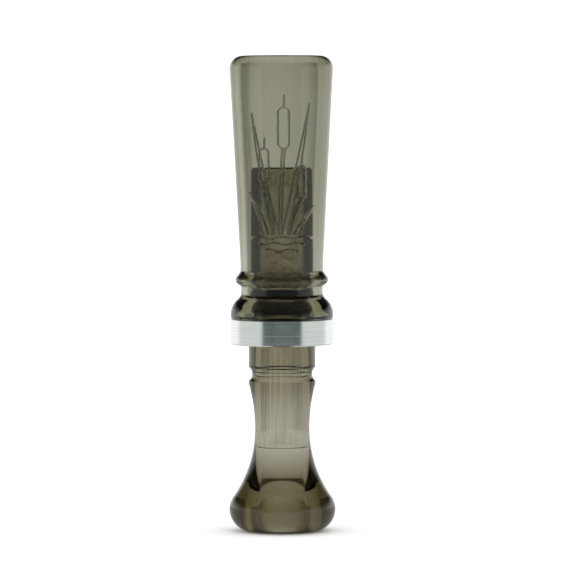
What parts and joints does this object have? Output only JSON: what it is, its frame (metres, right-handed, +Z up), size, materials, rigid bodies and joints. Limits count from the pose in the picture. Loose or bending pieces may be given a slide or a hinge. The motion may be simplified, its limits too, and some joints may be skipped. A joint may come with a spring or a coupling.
{
  "type": "duck call",
  "caption": "Slim turned duck call: clear smoke barrel with a mouth lip, bead and lanyard groove, metal band, and a pull-out insert with a flared bell, stopper and reeds.",
  "frame": {"origin": "centre of the flat ring that the bell stands on", "axes": "+Z up along the call's axis towards the mouth end; the tone board, the reeds and, at rest, the engraved side of the barrel face -Y; +X completes the right-handed frame"},
  "size_m": [0.0312, 0.0312, 0.14],
  "materials": {
    "smoke_barrel": "polished clear smoke-grey, slightly warm",
    "smoke_insert": "polished clear smoke-grey, slightly warm",
    "band_metal": "bright turned, fine circumferential tool lines, bevelled edges",
    "ring_rubber": "satin black nitrile",
    "reed_film": "frosted translucent polyester film",
    "cork": "natural cork, matt, speckled"
  },
  "bodies": {
    "insert_body": {"insert": "smoke_insert", "cork_wedge": "cork"},
    "seals": {"o_ring_lower": "ring_rubber", "o_ring_upper": "ring_rubber"},
    "barrel_body": {"barrel": "smoke_barrel", "band": "band_metal"},
    "long_reed": {"reed_long": "reed_film"},
    "short_reed": {"reed_short": "reed_film"}
  },
  "joints": [
    {"name": "barrel_twist", "type": "hinge", "parent": "insert_body", "child": "seals", "pos_m": [0, 0, 0.06], "axis": [0, 0, 1], "continuous": true},
    {"name": "barrel_pull", "type": "slide", "parent": "seals", "child": "barrel_body", "axis": [0, 0, 1], "range_m": [0, 0.06]},
    {"name": "long_reed_beat", "type": "hinge", "parent": "insert_body", "child": "long_reed", "pos_m": [0, -0.0015, 0.0725], "axis": [-1, 0, 0], "range_deg": [0, 1.4], "stiffness_Nm_per_rad": 0.1},
    {"name": "short_reed_beat", "type": "hinge", "parent": "insert_body", "child": "short_reed", "pos_m": [0, -0.0015, 0.0725], "axis": [-1, 0, 0], "range_deg": [0, 1.4], "stiffness_Nm_per_rad": 0.1}
  ],
  "couplings": [
    {"joint": "short_reed_beat", "follows": "long_reed_beat", "ratio": 1}
  ]
}
